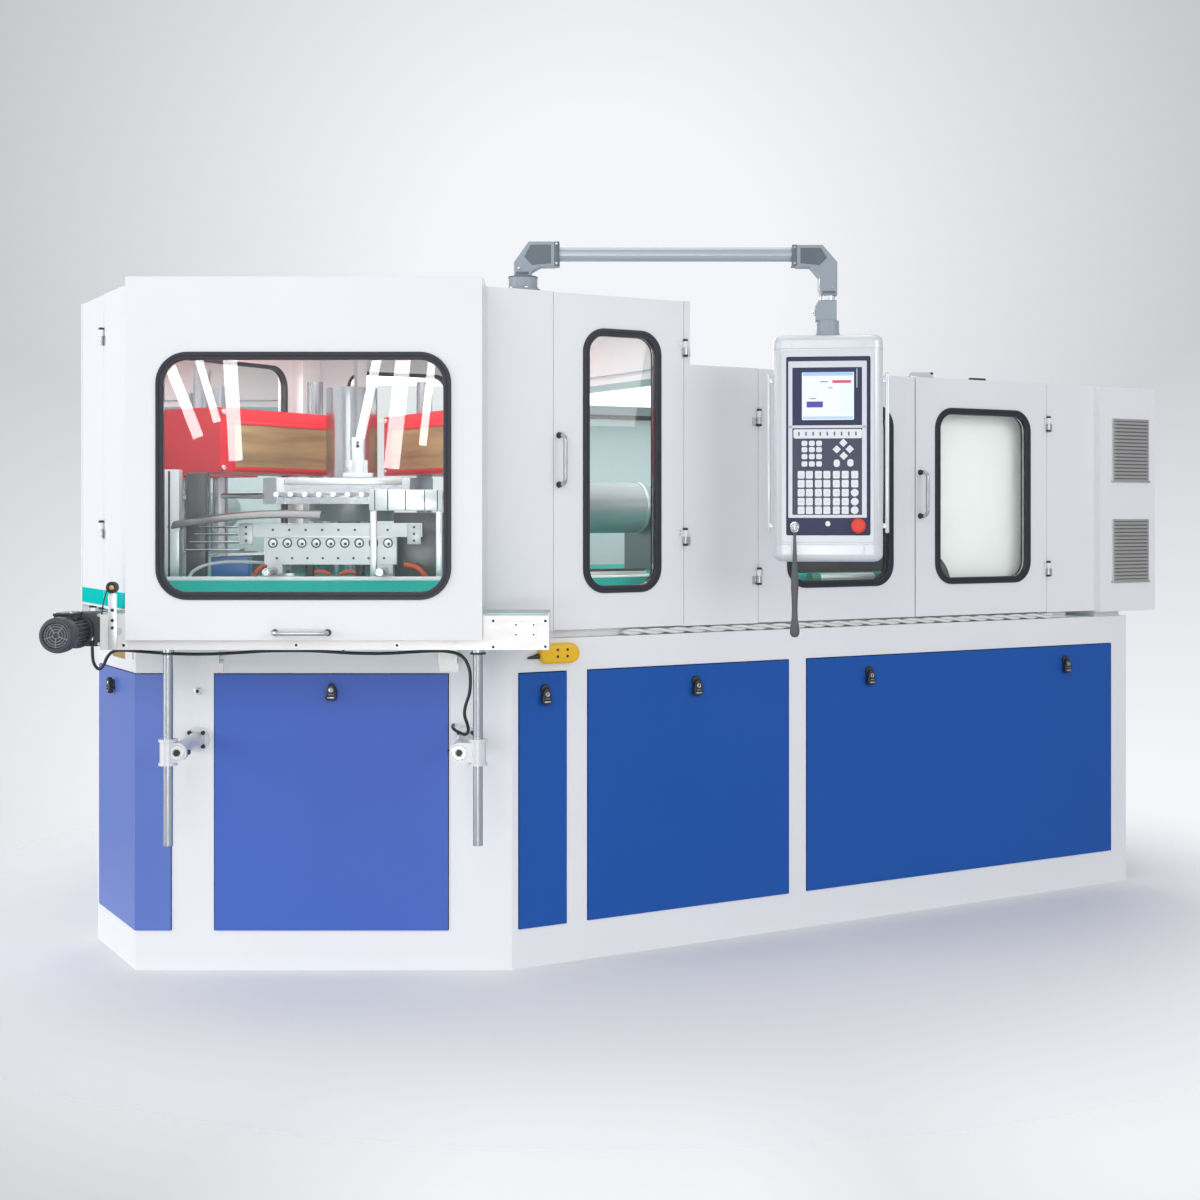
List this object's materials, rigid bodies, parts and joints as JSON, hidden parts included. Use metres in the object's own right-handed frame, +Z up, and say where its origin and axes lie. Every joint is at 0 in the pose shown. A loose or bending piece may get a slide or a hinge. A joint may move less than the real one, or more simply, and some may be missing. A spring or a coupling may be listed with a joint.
{
  "type": "blow moulding machine",
  "caption": "Enclosed injection blow moulding machine with hinged guards, an ejection hood over a bottle conveyor and a swinging control panel on an arm.",
  "frame": {"origin": "centre of the base's rectangular footprint, on the floor", "axes": "+X along the machine to its injection end, -Y towards the long operator side, +Z up"},
  "size_m": [4.2649, 2.2541, 2.339],
  "materials": {
    "white_paint": "satin powder coat",
    "blue_paint": "satin powder coat",
    "teal_paint": "satin",
    "red_paint": "satin",
    "black_rubber": "matt",
    "steel": "machined",
    "zinc_steel": "zinc plated",
    "brushed_steel": "brushed",
    "dark_motor": "semi matt",
    "aluminium": "anodised",
    "arm_grey": "satin",
    "panel_silver": "satin",
    "navy_face": "satin film",
    "screen": "gloss",
    "stop_red": "satin",
    "black_plastic": "satin",
    "belt_green": "matt",
    "yellow_plastic": "satin",
    "cable_white": "satin",
    "cable_black": "satin",
    "grip_grey": "matt"
  },
  "bodies": {
    "machine": {"base_plinth": "white_paint", "base_deck": "white_paint", "base_posts": "white_paint", "ejection_panels": "blue_paint", "corner_panel": "blue_paint", "side_panels": "blue_paint", "cable_box": "yellow_plastic", "guard_panels": "white_paint", "rear_walls": "white_paint", "rear_windows": "black_rubber", "cabin_posts": "white_paint", "electrical_cabinet": "white_paint", "louvre_panels": "brushed_steel", "hinge_bodies": "steel", "conveyor_frame": "aluminium", "conveyor_belt": "belt_green", "geared_motor": "dark_motor", "support_rods": "zinc_steel", "rod_clamps": "aluminium", "sensor_post": "aluminium", "arm_foot": "arm_grey", "machine_bed": "teal_paint", "station_columns": "steel", "injection_unit": "steel", "sill_cable": "cable_white", "drive_cable": "cable_black"},
    "hood": {"hood_front": "white_paint", "hood_returns": "white_paint", "hood_window": "black_rubber", "hood_handle": "steel"},
    "side_door": {"side_door": "white_paint", "side_window": "black_rubber", "side_handle": "steel"},
    "middle_door": {"middle_door": "white_paint", "middle_window": "black_rubber"},
    "right_door": {"right_door": "white_paint", "right_window": "black_rubber", "right_handle": "steel"},
    "end_door": {"end_door": "white_paint"},
    "arm": {"control_arm": "arm_grey"},
    "panel": {"panel_housing": "panel_silver", "panel_face": "navy_face", "panel_screen": "screen", "grab_rails": "aluminium", "key_fob": "grip_grey"},
    "stop": {"estop_button": "stop_red"},
    "key": {"lock_key": "steel"},
    "drive_roller": {"drive_roller": "steel"},
    "idler_roller": {"idler_roller": "steel"},
    "carrier": {"turret_carrier": "steel"},
    "turret": {"turret_head": "steel", "core_rods": "steel"},
    "platens": {"upper_platens": "red_paint"},
    "stripper": {"stripper_bar": "aluminium"},
    "latch_small": {"latch_small": "black_plastic"},
    "latch_middle": {"latch_middle": "black_plastic"},
    "latch_large_left": {"latch_large_left": "black_plastic"},
    "latch_large_right": {"latch_large_right": "black_plastic"},
    "latch_ejection": {"latch_ejection": "black_plastic"},
    "latch_end": {"latch_end": "black_plastic"}
  },
  "joints": [
    {"name": "hood_hinge", "type": "hinge", "parent": "machine", "child": "hood", "pos_m": [-1.39461, -0.5853, 2.184], "axis": [-0.866, 0.5, 0], "range_deg": [0, 80]},
    {"name": "side_door_hinge", "type": "hinge", "parent": "machine", "child": "side_door", "pos_m": [-0.198, -0.851, 1.65], "axis": [0, 0, 1], "range_deg": [0, 85]},
    {"name": "middle_door_hinge", "type": "hinge", "parent": "machine", "child": "middle_door", "pos_m": [0.106, -0.851, 1.5], "axis": [0, 0, 1], "range_deg": [-50, 0]},
    {"name": "right_door_hinge", "type": "hinge", "parent": "machine", "child": "right_door", "pos_m": [1.464, -0.851, 1.5], "axis": [0, 0, 1], "range_deg": [0, 110]},
    {"name": "end_door_hinge", "type": "hinge", "parent": "machine", "child": "end_door", "pos_m": [-1.9482, -0.04, 1.65], "axis": [0, 0, 1], "range_deg": [0, 110]},
    {"name": "arm_swivel", "type": "hinge", "parent": "machine", "child": "arm", "pos_m": [-0.765, -0.754, 2.215], "axis": [0, 0, 1], "range_deg": [-90, 5]},
    {"name": "panel_swivel", "type": "hinge", "parent": "arm", "child": "panel", "pos_m": [0.09496, -1.2505, 2.16], "axis": [0, 0, 1], "range_deg": [-100, 100]},
    {"name": "stop_push", "type": "slide", "parent": "panel", "child": "stop", "axis": [-0.6018, -0.7986, 0], "range_m": [-0.006, 0], "stiffness_N_per_m": 600},
    {"name": "key_turn", "type": "hinge", "parent": "panel", "child": "key", "pos_m": [-0.04085, -1.25459, 1.4145], "axis": [-0.6018, -0.7986, 0], "range_deg": [0, 45]},
    {"name": "drive_roller_turn", "type": "hinge", "parent": "machine", "child": "drive_roller", "pos_m": [-1.95564, -0.39303, 1.098], "axis": [0.5, 0.866, 0], "continuous": true},
    {"name": "idler_roller_turn", "type": "hinge", "parent": "machine", "child": "idler_roller", "pos_m": [-0.87051, -1.01953, 1.098], "axis": [0.5, 0.866, 0], "continuous": true},
    {"name": "turret_lift", "type": "slide", "parent": "machine", "child": "carrier", "axis": [0, 0, 1], "range_m": [-0.145, 0]},
    {"name": "turret_index", "type": "hinge", "parent": "carrier", "child": "turret", "pos_m": [-1.05669, 0, 1.5], "axis": [0, 0, 1], "continuous": true},
    {"name": "platen_lift", "type": "slide", "parent": "machine", "child": "platens", "axis": [0, 0, 1], "range_m": [-0.145, 0]},
    {"name": "stripper_stroke", "type": "slide", "parent": "machine", "child": "stripper", "axis": [0.5, 0.866, 0], "range_m": [-0.15, 0]},
    {"name": "latch_small_turn", "type": "hinge", "parent": "machine", "child": "latch_small", "pos_m": [-0.734, -0.846, 0.89], "axis": [0, -1, 0], "range_deg": [0, 90]},
    {"name": "latch_middle_turn", "type": "hinge", "parent": "machine", "child": "latch_middle", "pos_m": [-0.154, -0.846, 0.89], "axis": [0, -1, 0], "range_deg": [0, 90]},
    {"name": "latch_large_left_turn", "type": "hinge", "parent": "machine", "child": "latch_large_left", "pos_m": [0.589, -0.846, 0.89], "axis": [0, -1, 0], "range_deg": [0, 90]},
    {"name": "latch_large_right_turn", "type": "hinge", "parent": "machine", "child": "latch_large_right", "pos_m": [1.554, -0.846, 0.89], "axis": [0, -1, 0], "range_deg": [0, 90]},
    {"name": "latch_ejection_turn", "type": "hinge", "parent": "machine", "child": "latch_ejection", "pos_m": [-1.3491, -0.55846, 0.89], "axis": [-0.5, -0.866, 0], "range_deg": [0, 90]},
    {"name": "latch_end_turn", "type": "hinge", "parent": "machine", "child": "latch_end", "pos_m": [-1.89323, 0.016, 0.89], "axis": [-1, 0, 0], "range_deg": [0, 90]}
  ],
  "couplings": [
    {"joint": "idler_roller_turn", "follows": "drive_roller_turn", "ratio": 1},
    {"joint": "platen_lift", "follows": "turret_lift", "ratio": 1}
  ]
}
